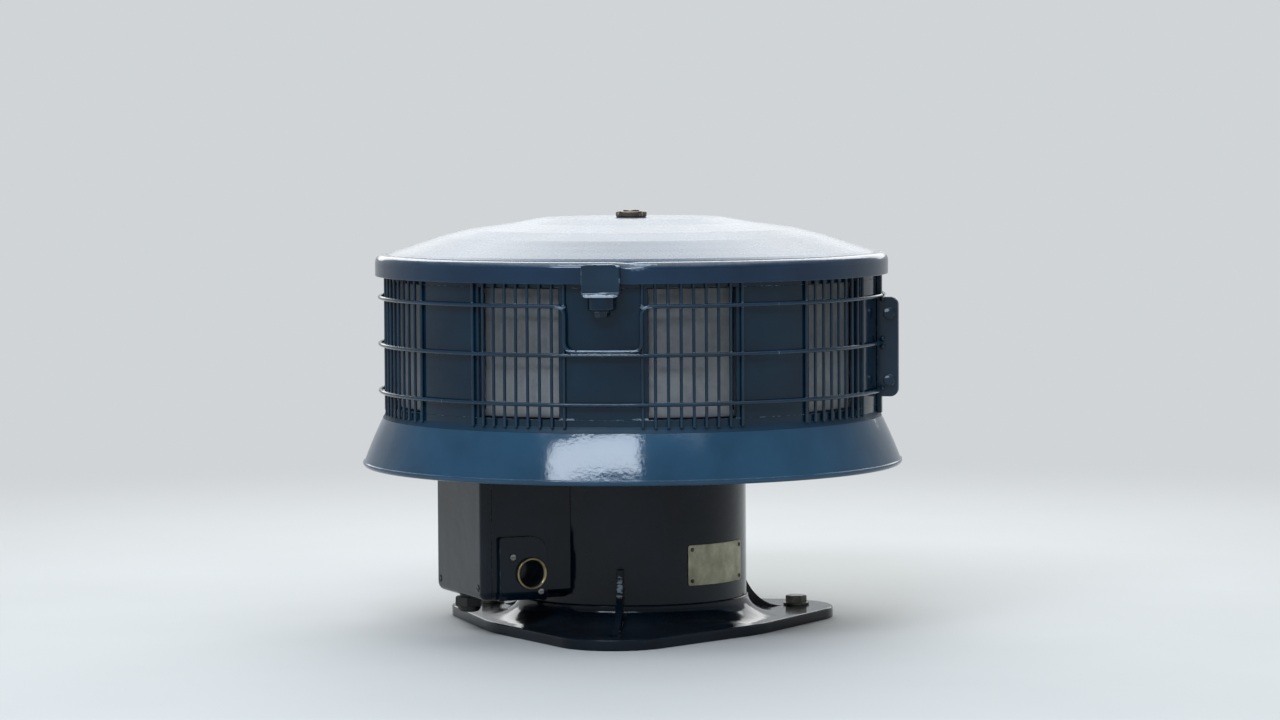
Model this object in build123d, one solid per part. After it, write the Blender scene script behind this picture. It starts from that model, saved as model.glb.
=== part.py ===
"""Civil defence motor siren: a motor-driven chopper siren head on a three-eared foot.

Frame: +Z up, the axis of the rotor is the Z axis, z = 0 is the underside of the foot.
The front ear and the front lid lug lie on -Y. Azimuths are in degrees from -Y towards +X.
"""
import os
from math import atan2, degrees, sqrt

from build123d import *

os.makedirs("parts", exist_ok=True)

# Clearances
curved_seat_gap = 0.3
shaft_running_gap = 0.05
shaft_end_gap = 0.6
rotor_running_gap = 5.0
deck_bore_gap = 10.0

# Cast foot
ear_count = 3
foot_bolt_circle = 470.0
foot_hole_diameter = 18.0
ear_margin = 45.0
ear_end_radius = 80.0
foot_thickness = 14.0
foot_edge_radius = 2.0
foot_disc_margin = 10.0
flare_reach = 41.0
flare_height = 27.0
flare_ledge = 2.0
foot_recess_margin = 29.0
foot_recess_depth = 9.0
rib_thickness = 9.0
rib_height = 74.0
rib_reach = 62.0
rib_top_width = 5.0

# Motor
motor_radius = 147.0
motor_height = 195.0
end_shield_height = 40.0
shaft_radius = 19.0
shaft_socket_depth = 36.0
shaft_top_lap = 12.0
bearing_cap_radius = 52.0
bearing_cap_height = 8.0

# Terminal box, on the left of the housing
box_azimuth = -60.0
box_width = 163.0
box_depth = 96.5
box_bottom = 50.0
box_top_gap = 4.0
box_edge_radius = 12.0
cover_edge_radius = 10.0
cover_thickness = 13.0

# Supply inlet on the front side of the box
inlet_boss_width = 65.0
inlet_boss_height = 81.0
inlet_boss_thickness = 6.0
inlet_boss_corner = 4.0
inlet_boss_shoulder = 22.0
inlet_boss_setback = 21.5
inlet_setback = 64.0
inlet_height = 34.0
inlet_bore = 34.0
inlet_bore_depth = 22.0
inlet_ring_wall = 3.0
inlet_ring_length = 5.0

# Blind gland under the box
gland_across_flats = 33.0
gland_length = 25.0
gland_setback = 25.0
gland_offset = 28.0
gland_neck_radius = 12.0
gland_neck_length = 5.0

# Rating plate, left bare
plate_width = 105.0
plate_height = 52.0
plate_thickness = 1.0
plate_azimuth = 55.0
plate_bottom = 64.0

# Stator
port_count = 9
stator_radius = 320.0
stator_wall = 8.0
port_height = 162.0
segment_angle = 20.0
deck_thickness = 14.0
deck_rim_width = 66.0
deck_hub_overhang = 13.0
deck_arm_count = 6
deck_arm_width = 26.0
top_ring_thickness = 8.0
top_ring_width = 30.0
top_ring_height = 29.0
top_ring_wall = 5.0
top_ring_wall_setback = 14.0

# Skirt
skirt_step = 2.0
skirt_flare = 28.0
skirt_height = 65.0
skirt_sheet = 2.0
skirt_bead_radius = 4.0
skirt_flange_width = 22.0

# Lid
lid_sheet = 3.0
rim_overhang = 12.0
rim_depth = 27.0
rim_edge_radius = 11.0
rim_seat_width = 36.0
dome_setback = 22.0
dome_sheet = 2.5
dome_rise = 46.0
shoulder_setback = 99.0
shoulder_rise = 32.0
crown_radius = 151.0
crown_rise = 40.0
crown_bevel = 32.0
plug_radius = 20.0
plug_height = 8.0
plug_tip_radius = 11.0
plug_tip_height = 2.0

# Lid lugs and the bosses that they seat on
lug_count = 3
lug_width = 48.0
lug_reach = 14.0
lug_height = 40.5
lug_drop = 2.0
lug_corner_radius = 8.0
lug_edge_radius = 5.0
lug_shoulder_width = 9.0
lug_shoulder_drop = 2.0
lug_lip_reach = 2.5
lug_lip_height = 3.0
lug_lip_slope = 3.5
lug_boss_radius = 17.5
lug_boss_reach = 27.0
lug_boss_height = 16.5
lug_boss_edge = 3.0

# Guard grille
bars_per_port = 9
bar_pitch_angle = 2.84
bar_diameter = 4.0
bar_bottom_lap = 11.0
bar_top_lap = 7.0
ring_diameter = 5.0
bend_diameter = 4.6
weld_depth = 0.6
ring_low_level = 18.8
ring_middle_level = 79.4
ring_high_level = 139.6
detour_half_width = 48.0
detour_bend_radius = 10.0
wire_sides = 8

# Clamp of the grille
clamp_azimuth = 86.0
clamp_plate = 4.0
clamp_gap = 2.0
clamp_reach = 24.0
clamp_level = 10.0
clamp_height = 128.0
clamp_corner = 10.0
clamp_strip_reach = 6.0
clamp_hole = 9.0
clamp_hole_inset = 11.0
clamp_hole_margin = 21.0

# Rotor
rotor_shell_wall = 5.0
rotor_disc_thickness = 4.0
rotor_hub_radius = 45.0
rotor_hub_flange_radius = 78.0
rotor_hub_flange_thickness = 10.0
rotor_ring_width = 69.0
rotor_blade_thickness = 4.0
rotor_segment_angle = 20.0

# Radii that follow
ear_tip_radius = foot_bolt_circle / 2 + ear_margin
flare_radius = motor_radius + flare_ledge + flare_reach
foot_disc_radius = flare_radius + foot_disc_margin
box_reach = motor_radius + box_depth
deck_hub_radius = motor_radius + deck_hub_overhang
deck_bore_radius = bearing_cap_radius + deck_bore_gap
skirt_top_radius = stator_radius + skirt_step
skirt_radius = skirt_top_radius + skirt_flare
top_ring_wall_radius = stator_radius - top_ring_wall_setback
rim_radius = stator_radius + rim_overhang
dome_radius = rim_radius - dome_setback
shoulder_radius = dome_radius - shoulder_setback
crown_top_radius = crown_radius - crown_bevel
lug_radius = rim_radius + lug_reach
bar_radius = stator_radius + curved_seat_gap + bar_diameter / 2
ring_radius = bar_radius + bar_diameter / 2 + ring_diameter / 2 - weld_depth
clamp_radius = ring_radius - ring_diameter / 2 + clamp_reach
rotor_radius = stator_radius - stator_wall - rotor_running_gap
rotor_inlet_radius = rotor_radius - rotor_ring_width

# Angles of the detours under the lugs
detour_angle = degrees(detour_half_width / ring_radius)
bend_angle = degrees(atan2(detour_bend_radius, ring_radius))

# Levels that follow
foot_top = foot_thickness + flare_height
motor_top = foot_top + motor_height
deck_bottom = motor_top + end_shield_height
deck_top = deck_bottom + deck_thickness
port_top = deck_top + port_height
lid_seat = port_top + top_ring_height
rim_top = lid_seat + lid_sheet
rim_bottom = rim_top - rim_depth
dome_top = rim_top + dome_rise
skirt_bottom = deck_bottom - skirt_height
box_top = motor_top - box_top_gap
lug_top = rim_top - lug_drop
lug_bottom = lug_top - lug_height
rotor_bottom = deck_top + rotor_running_gap
rotor_top = port_top - rotor_running_gap

# Spacing round the axis
ear_step = 360.0 / ear_count
port_step = 360.0 / port_count
lug_step = 360.0 / lug_count
arm_step = 360.0 / deck_arm_count
ports_per_lug = port_count // lug_count


def turned(azimuth, shape):
    """Turn a shape built at the front to its azimuth about the rotor axis."""
    return Rot(0, 0, azimuth) * shape


def cylinder(radius, bottom, top):
    """Upright cylinder on the axis."""
    solid = Cylinder(radius, top - bottom, align=(Align.CENTER, Align.CENTER, Align.MIN))
    return Pos(0, 0, bottom) * solid


def ring(inner, outer, bottom, top):
    """Flat ring or tube on the axis."""
    return cylinder(outer, bottom, top) - cylinder(inner, bottom, top)


def ring_sector(inner, outer, bottom, top, angle):
    """Part of a ring, centred on the front."""
    start = -90 - angle / 2
    outer_arc = CenterArc((0, 0), outer, start, angle)
    inner_arc = CenterArc((0, 0), inner, start, angle)
    near_side = Line(outer_arc @ 0, inner_arc @ 0)
    far_side = Line(outer_arc @ 1, inner_arc @ 1)
    face = make_face([outer_arc, inner_arc, near_side, far_side])
    return Pos(0, 0, bottom) * extrude(face, top - bottom)


def block(x_low, x_high, y_low, y_high, z_low, z_high):
    """Box between two corners."""
    solid = Box(x_high - x_low, y_high - y_low, z_high - z_low, align=(Align.MIN, Align.MIN, Align.MIN))
    return Pos(x_low, y_low, z_low) * solid


def turned_profile(*edges):
    """Solid of revolution of a closed outline drawn as radius and height."""
    return revolve(Plane.XZ * make_face(list(edges)), Axis.Z)


def foot_rib():
    """Rib of the foot with a hollow-curved crest, from the housing wall down to the front ear."""
    inner = motor_radius + curved_seat_gap
    crest_start = inner + rib_top_width
    crest_end = crest_start + rib_reach
    top = foot_thickness + rib_height
    bottom = foot_thickness - foot_edge_radius
    crest = EllipticalCenterArc((crest_end, top), rib_reach, rib_height, 180, arc_size=90)
    outline = Polyline(
        (crest_end, foot_thickness),
        (crest_end, bottom),
        (inner, bottom),
        (inner, top),
        (crest_start, top),
    )
    face = make_face([crest, *outline.edges()])
    rib = extrude(Plane.XZ * face, rib_thickness / 2, both=True)
    return Rot(0, 0, -90) * rib


def base_foot():
    """Cast plate with three ears and three ribs, flaring up to the housing, recessed underneath."""
    ear_centre = ear_tip_radius - ear_end_radius
    outline = [Circle(foot_disc_radius).edge()]
    for number in range(ear_count):
        ear = Circle(ear_end_radius).edge()
        outline.append(Rot(0, 0, number * ear_step) * Pos(0, -ear_centre) * ear)
    plate = extrude(make_hull(outline), foot_thickness)
    plate = fillet(plate.edges().group_by(Axis.Z)[-1], foot_edge_radius)
    curve = EllipticalCenterArc((flare_radius, foot_top), flare_reach, flare_height, 180, arc_size=90)
    flare = turned_profile(
        curve,
        Line((flare_radius, foot_thickness), (flare_radius, foot_recess_depth)),
        Line((flare_radius, foot_recess_depth), (0, foot_recess_depth)),
        Line((0, foot_recess_depth), (0, foot_top)),
        Line((0, foot_top), (motor_radius + flare_ledge, foot_top)),
    )
    foot = plate + flare
    foot -= cylinder(motor_radius - foot_recess_margin, 0, foot_recess_depth)
    hole = cylinder(foot_hole_diameter / 2, 0, foot_top)
    rib = foot_rib()
    for number in range(ear_count):
        foot += turned(number * ear_step, rib)
        foot -= turned(number * ear_step, Pos(0, -foot_bolt_circle / 2) * hole)
    return foot


def motor_housing():
    """Closed round housing of the motor."""
    return cylinder(motor_radius, foot_top, motor_top)


def motor_end_shield():
    """Upper end shield with the bearing cap and the socket that the shaft runs in."""
    cap_top = deck_bottom + bearing_cap_height
    shield = cylinder(motor_radius, motor_top, deck_bottom)
    shield += cylinder(bearing_cap_radius, deck_bottom, cap_top)
    return shield - cylinder(shaft_radius + shaft_running_gap, deck_bottom - shaft_socket_depth, cap_top)


def box_blank():
    """Rounded block of the whole terminal box, facing the front."""
    half = box_width / 2
    blank = block(-half, half, -box_reach, 0, box_bottom, box_top)
    blank = fillet(blank.edges().filter_by(Axis.Y), box_edge_radius)
    return fillet(blank.edges().group_by(Axis.Y)[0], cover_edge_radius)


def cover_zone():
    """Space outside the joint between the box and its cover."""
    joint = box_reach - cover_thickness
    return block(-box_width, box_width, -2 * box_reach, -joint, 0, 2 * box_top)


def inlet_bore_solid():
    """Solid that cuts the bore of the supply inlet to its depth inside the wall of the box."""
    place = Pos(box_width / 2, -(box_reach - inlet_setback), box_bottom + inlet_height) * Rot(0, 90, 0)
    return place * Cylinder(inlet_bore / 2, 2 * inlet_bore_depth)


def terminal_box():
    """Cast box let onto the round housing, with the bore of its inlet."""
    body = box_blank() - cover_zone()
    body -= cylinder(motor_radius + curved_seat_gap, 0, deck_top)
    return turned(box_azimuth, body - inlet_bore_solid())


def terminal_box_cover():
    """Rounded front cover of the box."""
    return turned(box_azimuth, box_blank() & cover_zone())


def cable_entry_boss():
    """Raised plate round the supply inlet, following the rounding under the box."""
    half = box_width / 2
    y_low = -(box_reach - inlet_boss_setback)
    boss = block(
        half - 2 * box_edge_radius, half + inlet_boss_thickness,
        y_low, y_low + inlet_boss_width,
        box_bottom - inlet_boss_thickness, box_bottom + inlet_boss_height,
    )
    outer = boss.edges().group_by(Axis.X)[-1]
    boss = fillet(outer.group_by(Axis.Z)[0], box_edge_radius + inlet_boss_thickness)
    corner, shoulder = boss.edges().filter_by(Axis.X).group_by(Axis.Z)[-1].sort_by(Axis.Y)
    boss = fillet(corner, inlet_boss_corner)
    shoulder = boss.edges().filter_by(Axis.X).group_by(Axis.Z)[-1].sort_by(Axis.Y)[-1]
    boss = fillet(shoulder, inlet_boss_shoulder)
    boss -= box_blank()
    boss -= block(-box_width, box_width, -box_reach, 0, 0, box_bottom)
    return turned(box_azimuth, boss - inlet_bore_solid())


def cable_entry_ring():
    """Bare metal ring round the bore of the inlet."""
    x_low = box_width / 2 + inlet_boss_thickness
    place = Pos(x_low, -(box_reach - inlet_setback), box_bottom + inlet_height) * Rot(0, 90, 0)
    collar = ring(inlet_bore / 2, inlet_bore / 2 + inlet_ring_wall, 0, inlet_ring_length)
    return turned(box_azimuth, place * collar)


def blind_gland():
    """Six-sided plug that closes the spare entry under the box."""
    head_length = gland_length - gland_neck_length
    head = extrude(RegularPolygon(gland_across_flats / 2, 6, major_radius=False), head_length)
    neck = cylinder(gland_neck_radius, head_length, gland_length)
    place = Pos(-gland_offset, -(box_reach - gland_setback), box_bottom - gland_length)
    return turned(box_azimuth, place * (head + neck))


def rating_plate():
    """Thin bare plate bent round the housing."""
    inner = motor_radius + curved_seat_gap
    angle = degrees(plate_width / inner)
    plate = ring_sector(inner, inner + plate_thickness, plate_bottom, plate_bottom + plate_height, angle)
    return turned(plate_azimuth, plate)


def skirt():
    """Conical sheet with a wired lower edge and a flange bolted up under the deck."""
    slope = sqrt(skirt_flare ** 2 + skirt_height ** 2)
    wall = skirt_sheet * slope / skirt_height
    flange_bottom = deck_bottom - skirt_sheet
    flange_inner = skirt_top_radius - skirt_flange_width
    bead_level = skirt_bottom + skirt_bead_radius
    bead_centre = skirt_radius - skirt_bead_radius
    outer_foot = skirt_radius - skirt_flare * skirt_bead_radius / skirt_height
    sheet = Polyline(
        (outer_foot - wall, bead_level),
        (outer_foot, bead_level),
        (skirt_top_radius, deck_bottom),
        (flange_inner, deck_bottom),
        (flange_inner, flange_bottom),
        (skirt_top_radius - wall, flange_bottom),
        close=True,
    )
    cone = revolve(Plane.XZ * make_face(sheet), Axis.Z)
    bead = revolve(Plane.XZ * Pos(bead_centre, bead_level) * Circle(skirt_bead_radius), Axis.Z)
    return cone + bead


def stator_deck():
    """Cast deck: a rim under the ports, arms, and a hub ring on the end shield."""
    rim_inner = stator_radius - deck_rim_width
    deck = ring(rim_inner, stator_radius, deck_bottom, deck_top)
    deck += ring(deck_bore_radius, deck_hub_radius, deck_bottom, deck_top)
    half = deck_arm_width / 2
    arm = block(
        -half, half,
        -(rim_inner + deck_rim_width / 2), -(deck_hub_radius + deck_bore_radius) / 2,
        deck_bottom, deck_top,
    )
    for number in range(deck_arm_count):
        deck += turned(number * arm_step, arm)
    return deck


def lug_boss():
    """Half-round boss on the front wall, under its lug."""
    centre = stator_radius + lug_boss_reach - lug_boss_radius
    boss = cylinder(lug_boss_radius, lug_bottom - lug_boss_height, lug_bottom)
    boss = fillet(boss.edges().group_by(Axis.Z)[0], lug_boss_edge)
    return Pos(0, -centre) * boss - cylinder(stator_radius - stator_wall / 2, deck_top, port_top)


def stator_segment(number):
    """Closed wall between two ports; every third one carries the boss under a lid lug."""
    wall = ring_sector(stator_radius - stator_wall, stator_radius, deck_top, port_top, segment_angle)
    if number % ports_per_lug == 0:
        wall += lug_boss()
    return turned(number * port_step, wall)


def stator_top_ring():
    """Ring that closes the ports at the top and carries the lid on its upright wall."""
    flat = ring(stator_radius - top_ring_width, stator_radius, port_top, port_top + top_ring_thickness)
    upright = ring(top_ring_wall_radius - top_ring_wall, top_ring_wall_radius, port_top, lid_seat)
    return flat + upright


def lid_rim():
    """Turned-down rim of the lid."""
    inner_edge = rim_edge_radius - lid_sheet
    seat_inner = rim_radius - rim_seat_width
    bend_radius = rim_radius - rim_edge_radius
    bend_level = rim_top - rim_edge_radius
    inner_radius = rim_radius - lid_sheet
    return turned_profile(
        Line((rim_radius, rim_bottom), (rim_radius, bend_level)),
        CenterArc((bend_radius, bend_level), rim_edge_radius, 0, 90),
        Line((bend_radius, rim_top), (seat_inner, rim_top)),
        Line((seat_inner, rim_top), (seat_inner, lid_seat)),
        Line((seat_inner, lid_seat), (bend_radius, lid_seat)),
        CenterArc((bend_radius, bend_level), inner_edge, 0, 90),
        Line((inner_radius, bend_level), (inner_radius, rim_bottom)),
        Line((inner_radius, rim_bottom), (rim_radius, rim_bottom)),
    )


def lid_dome():
    """Shallow spun dome with a raised crown."""
    outside = [
        (0, dome_top),
        (crown_top_radius, dome_top),
        (crown_radius, rim_top + crown_rise),
        (shoulder_radius, rim_top + shoulder_rise),
        (dome_radius, rim_top + dome_sheet),
    ]
    inside = [(radius, level - dome_sheet) for radius, level in reversed(outside)]
    sheet = Polyline(*outside, *inside, close=True)
    return revolve(Plane.XZ * make_face(sheet), Axis.Z)


def rim_envelope():
    """Filled outside shape of the rim with the seat gap added, which the lugs are cut to."""
    body = cylinder(rim_radius + curved_seat_gap, rim_bottom - curved_seat_gap, rim_top + curved_seat_gap)
    return fillet(body.edges().group_by(Axis.Z)[-1], rim_edge_radius + curved_seat_gap)


def lug_side():
    """Side outline of a lug: a straight front that slopes out to a lip at the lower edge."""
    lip_top = lug_bottom + lug_lip_height
    lip_radius = lug_radius + lug_lip_reach
    outline = Polyline(
        (0, lug_bottom),
        (lip_radius, lug_bottom),
        (lip_radius, lip_top),
        (lug_radius, lip_top + lug_lip_slope),
        (lug_radius, lug_top),
        (0, lug_top),
        close=True,
    )
    slab = extrude(Plane.XZ * make_face(outline), lug_width, both=True)
    return Rot(0, 0, -90) * slab


def lug_front():
    """Front outline of a lug, with bevelled shoulders and rounded lower corners."""
    half = lug_width / 2
    shoulder = half - lug_shoulder_width
    outline = Polyline(
        (-half, lug_bottom),
        (half, lug_bottom),
        (half, lug_top - lug_shoulder_drop),
        (shoulder, lug_top),
        (-shoulder, lug_top),
        (-half, lug_top - lug_shoulder_drop),
        close=True,
    )
    face = make_face(outline)
    face = fillet(face.vertices().group_by(Axis.Y)[0], lug_corner_radius)
    return extrude(Plane.XZ * face, 2 * lug_radius)


def lug_plan():
    """Plan outline of a lug, with rounded front edges."""
    half = lug_width / 2
    plan = block(-half, half, -(lug_radius + lug_lip_reach), 0, lug_bottom, lug_top)
    front_edges = plan.edges().filter_by(Axis.Z).group_by(Axis.Y)[0]
    return fillet(front_edges, lug_edge_radius)


def lid_lug(number):
    """Cast lug on the rim that seats on the boss of the wall below."""
    lug = lug_plan() & lug_side() & lug_front()
    lug -= cylinder(stator_radius + curved_seat_gap, lug_bottom, rim_top)
    return turned(number * lug_step, lug - rim_envelope())


def top_plug():
    """Stepped plug in the middle of the crown."""
    plug = cylinder(plug_radius, dome_top, dome_top + plug_height)
    return plug + cylinder(plug_tip_radius, dome_top, dome_top + plug_height + plug_tip_height)


def wire_profile(diameter):
    """Section of a wire with few sides, as wide across its flats as the wire is thick."""
    return RegularPolygon(diameter / 2, wire_sides, major_radius=False, rotation=180 / wire_sides)


def upright_wire(radius, azimuth, bottom, top, diameter):
    """Straight upright wire."""
    wire = Pos(0, -radius, bottom) * extrude(wire_profile(diameter), top - bottom)
    return turned(azimuth, wire)


def ring_wire(start, end, level):
    """Wire bent round the cage from one azimuth to another."""
    section = Plane.XZ * Pos(ring_radius, level) * wire_profile(ring_diameter)
    return turned(start - 90, revolve(section, Axis.Z, revolution_arc=end - start))


def bend_wire(end_azimuth, level, start):
    """Quarter bend, where the wire is drawn a little thinner, in the upright plane of the ring's end."""
    section = Plane.XZ * Pos(detour_bend_radius, 0) * wire_profile(bend_diameter)
    quarter = Rot(0, 0, start) * revolve(section, Axis.Z, revolution_arc=90)
    place = Pos(0, -ring_radius, level) * Rot(90, 0, 0)
    return turned(end_azimuth, place * quarter)


def detour_wires(lug_azimuth):
    """Way of the ring wire round under a lug, on the side past it: two bends, leg and low run."""
    leg_azimuth = lug_azimuth + detour_angle
    leg_radius = sqrt(ring_radius ** 2 + detour_bend_radius ** 2)
    high = deck_top + ring_high_level - detour_bend_radius
    run_level = deck_top + ring_middle_level + ring_diameter - weld_depth
    low = run_level + detour_bend_radius
    return [
        bend_wire(leg_azimuth + bend_angle, high, 90),
        upright_wire(leg_radius, leg_azimuth, low, high, ring_diameter),
        bend_wire(leg_azimuth - bend_angle, low, 270),
        ring_wire(lug_azimuth, leg_azimuth - bend_angle, run_level),
    ]


def grille_panel(number):
    """Guard in front of one port, to the middle of the walls on both sides."""
    centre = (number + 0.5) * port_step
    clamp_offset = clamp_azimuth - centre
    start = -port_step / 2
    end = port_step / 2
    if abs(clamp_offset) < port_step / 2:
        start = clamp_offset
    if abs(clamp_offset - port_step) < port_step / 2:
        end = clamp_offset
    lug_before = number % ports_per_lug == 0
    lug_after = (number + 1) % ports_per_lug == 0
    if lug_after:
        start, end = -end, -start
    wires = [ring_wire(start, end, deck_top + level) for level in (ring_low_level, ring_middle_level)]
    high_start = start
    if lug_before or lug_after:
        wires += detour_wires(start)
        high_start = start + detour_angle + bend_angle
    wires.append(ring_wire(high_start, end, deck_top + ring_high_level))
    for bar in range(bars_per_port):
        azimuth = (bar - (bars_per_port - 1) / 2) * bar_pitch_angle
        bottom = deck_top - bar_bottom_lap
        wires.append(upright_wire(bar_radius, azimuth, bottom, port_top + bar_top_lap, bar_diameter))
    panel = wires[0].fuse(*wires[1:])
    if lug_after:
        panel = panel.mirror(Plane.YZ)
    return turned(centre, panel) - clamp_zone()


def clamp_zone():
    """Space of the clamp, kept clear of the ring ends."""
    far = clamp_gap / 2 + clamp_plate
    zone = block(-far, far, -2 * clamp_radius, -stator_radius / 2, 0, dome_top)
    return turned(clamp_azimuth, zone)


def clamp_half(side):
    """Flange plate of the cage clamp with its end strip, on one side of the parting plane."""
    near = clamp_gap / 2
    far = near + clamp_plate
    inner = clamp_radius - clamp_reach
    bottom = deck_top + clamp_level
    top = bottom + clamp_height
    plate = block(near, far, -clamp_radius, -inner, bottom, top)
    plate = fillet(plate.edges().filter_by(Axis.X).group_by(Axis.Y)[0], clamp_corner)
    hole = Rot(0, 90, 0) * Cylinder(clamp_hole / 2, 2 * far)
    for level in (bottom + clamp_hole_margin, top - clamp_hole_margin):
        plate -= Pos(0, -(clamp_radius - clamp_hole_inset), level) * hole
    strip_inner = stator_radius + curved_seat_gap
    strip = block(
        near, far,
        -(strip_inner + clamp_strip_reach), -strip_inner,
        deck_top - bar_bottom_lap, port_top + bar_top_lap,
    )
    half = plate + strip
    if side < 0:
        half = half.mirror(Plane.YZ)
    return turned(clamp_azimuth, half)


def rotor_hub():
    """Hub on the shaft with a flange under the back plate."""
    top = rotor_top - rotor_disc_thickness
    hub = cylinder(rotor_hub_radius, rotor_bottom, top)
    hub += cylinder(rotor_hub_flange_radius, top - rotor_hub_flange_thickness, top)
    return hub - cylinder(shaft_radius + curved_seat_gap, rotor_bottom, top)


def rotor_top_disc():
    """Back plate of the rotor."""
    return ring(shaft_radius + curved_seat_gap, rotor_radius, rotor_top - rotor_disc_thickness, rotor_top)


def rotor_bottom_ring():
    """Lower ring of the rotor round its inlet."""
    return ring(rotor_inlet_radius, rotor_radius, rotor_bottom, rotor_bottom + rotor_disc_thickness)


def rotor_segments():
    """Closed outer walls of the rotor, which chop the air at the ports."""
    inner = rotor_radius - rotor_shell_wall
    low = rotor_bottom + rotor_disc_thickness
    high = rotor_top - rotor_disc_thickness
    wall = ring_sector(inner, rotor_radius, low, high, rotor_segment_angle)
    return [turned((number + 0.5) * port_step, wall) for number in range(port_count)]


def rotor_blades():
    """Radial blades from the hub to the closed outer walls, let in round the hub's flange."""
    half = rotor_blade_thickness / 2
    outer = rotor_radius - rotor_shell_wall - curved_seat_gap
    low = rotor_bottom + rotor_disc_thickness
    high = rotor_top - rotor_disc_thickness
    flange_bottom = high - rotor_hub_flange_thickness
    blade = block(-half, half, -outer, 0, low, high)
    blade -= cylinder(rotor_hub_radius + curved_seat_gap, low, high)
    blade -= cylinder(rotor_hub_flange_radius + curved_seat_gap, flange_bottom - curved_seat_gap, high)
    return [turned((number + 0.5) * port_step, blade) for number in range(port_count)]


def motor_shaft():
    """Shaft from its socket in the end shield up through the rotor."""
    bottom = deck_bottom - shaft_socket_depth + shaft_end_gap
    return cylinder(shaft_radius, bottom, rotor_top + shaft_top_lap)


def write(name, *solids):
    """Write one piece, or several like solids, as one node."""
    shape = Compound(children=list(solids)) if len(solids) > 1 else solids[0]
    export_step(shape, "parts/" + name + ".step")


write("base_foot", base_foot())
write("motor_housing", motor_housing())
write("motor_end_shield", motor_end_shield())
write("terminal_box", terminal_box())
write("terminal_box_cover", terminal_box_cover())
write("cable_entry_boss", cable_entry_boss())
write("cable_entry_ring", cable_entry_ring())
write("blind_gland", blind_gland())
write("rating_plate", rating_plate())
write("skirt", skirt())
write("stator_deck", stator_deck())
for segment in range(port_count):
    write("stator_segment_" + str(segment + 1), stator_segment(segment))
write("stator_top_ring", stator_top_ring())
write("lid_rim", lid_rim())
write("lid_dome", lid_dome())
for lug in range(lug_count):
    write("lid_lug_" + str(lug + 1), lid_lug(lug))
write("top_plug", top_plug())
for panel in range(port_count):
    write("grille_panel_" + str(panel + 1), grille_panel(panel))
write("grille_clamp_front", clamp_half(-1))
write("grille_clamp_rear", clamp_half(1))
write("rotor_hub", rotor_hub())
write("rotor_top_disc", rotor_top_disc())
write("rotor_bottom_ring", rotor_bottom_ring())
write("rotor_segments", *rotor_segments())
write("rotor_blades", *rotor_blades())
write("motor_shaft", motor_shaft())
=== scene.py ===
from functools import partial
from math import atan2, cos, degrees, pi, radians, sin, sqrt

import bmesh
import bpy
from mathutils import Matrix, Vector, noise


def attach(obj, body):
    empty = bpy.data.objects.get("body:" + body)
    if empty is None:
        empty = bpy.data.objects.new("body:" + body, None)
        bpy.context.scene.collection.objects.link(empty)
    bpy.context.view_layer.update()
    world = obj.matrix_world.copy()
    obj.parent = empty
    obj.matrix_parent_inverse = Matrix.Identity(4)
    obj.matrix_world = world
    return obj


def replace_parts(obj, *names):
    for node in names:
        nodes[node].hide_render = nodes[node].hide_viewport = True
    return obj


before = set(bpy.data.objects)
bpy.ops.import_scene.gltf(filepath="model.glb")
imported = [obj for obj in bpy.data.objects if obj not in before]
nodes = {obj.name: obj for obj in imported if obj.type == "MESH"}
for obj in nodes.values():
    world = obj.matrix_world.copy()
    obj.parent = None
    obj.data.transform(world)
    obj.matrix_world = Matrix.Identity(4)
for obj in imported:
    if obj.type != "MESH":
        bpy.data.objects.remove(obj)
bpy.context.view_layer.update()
sceneNow = bpy.context.scene
print("frame loaded with", len(nodes), "nodes")


# helpers; lengths in the dictionaries are mm, angles are degrees, vertices are metres

def linearColour(hexText):  # sRGB hex to the linear values that shaders use
    parts = [int(hexText[i:i + 2], 16) / 255 for i in (1, 3, 5)]
    return tuple(p / 12.92 if p <= 0.04045 else ((p + 0.055) / 1.055) ** 2.4 for p in parts) + (1.0,)


def addNode(tree, kind, inputs=None, **settings):  # a node as an input stands for its first output
    node = tree.nodes.new("ShaderNode" + kind)
    for name, value in settings.items():
        setattr(node, name, value)
    for name, value in (inputs or {}).items():
        if isinstance(value, bpy.types.Node):
            value = value.outputs[0]
        if isinstance(value, bpy.types.NodeSocket):
            tree.links.new(value, node.inputs[name])
        else:
            node.inputs[name].default_value = value
    return node


def startMaterial(name):  # a new material, what adds nodes to it, and the object's own coordinates
    material = bpy.data.materials.new(name)
    material.use_nodes = True
    material.node_tree.nodes.clear()
    add = partial(addNode, material.node_tree)
    return material, add, add("TexCoord").outputs["Object"]


def setStops(ramp, stops):  # positions and hex colours of a colour ramp
    elements = ramp.color_ramp.elements
    while len(elements) < len(stops):
        elements.new(0.5)
    for element, (position, colour) in zip(elements, stops):
        element.position = position
        element.color = linearColour(colour)


def turnMatrix(azimuth):
    return Matrix.Rotation(radians(azimuth), 4, "Z")


def tipped(angle, axis):
    return Matrix.Rotation(radians(angle), 4, axis)


def shifted(x, y, z):  # move in mm
    return Matrix.Translation((x / 1000, y / 1000, z / 1000))


def aroundAxis(azimuth, radius, height):  # point at an azimuth from -Y towards +X: mm in, metres out
    turn = radians(azimuth)
    return Vector((radius * sin(turn), -radius * cos(turn), height)) / 1000


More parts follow.
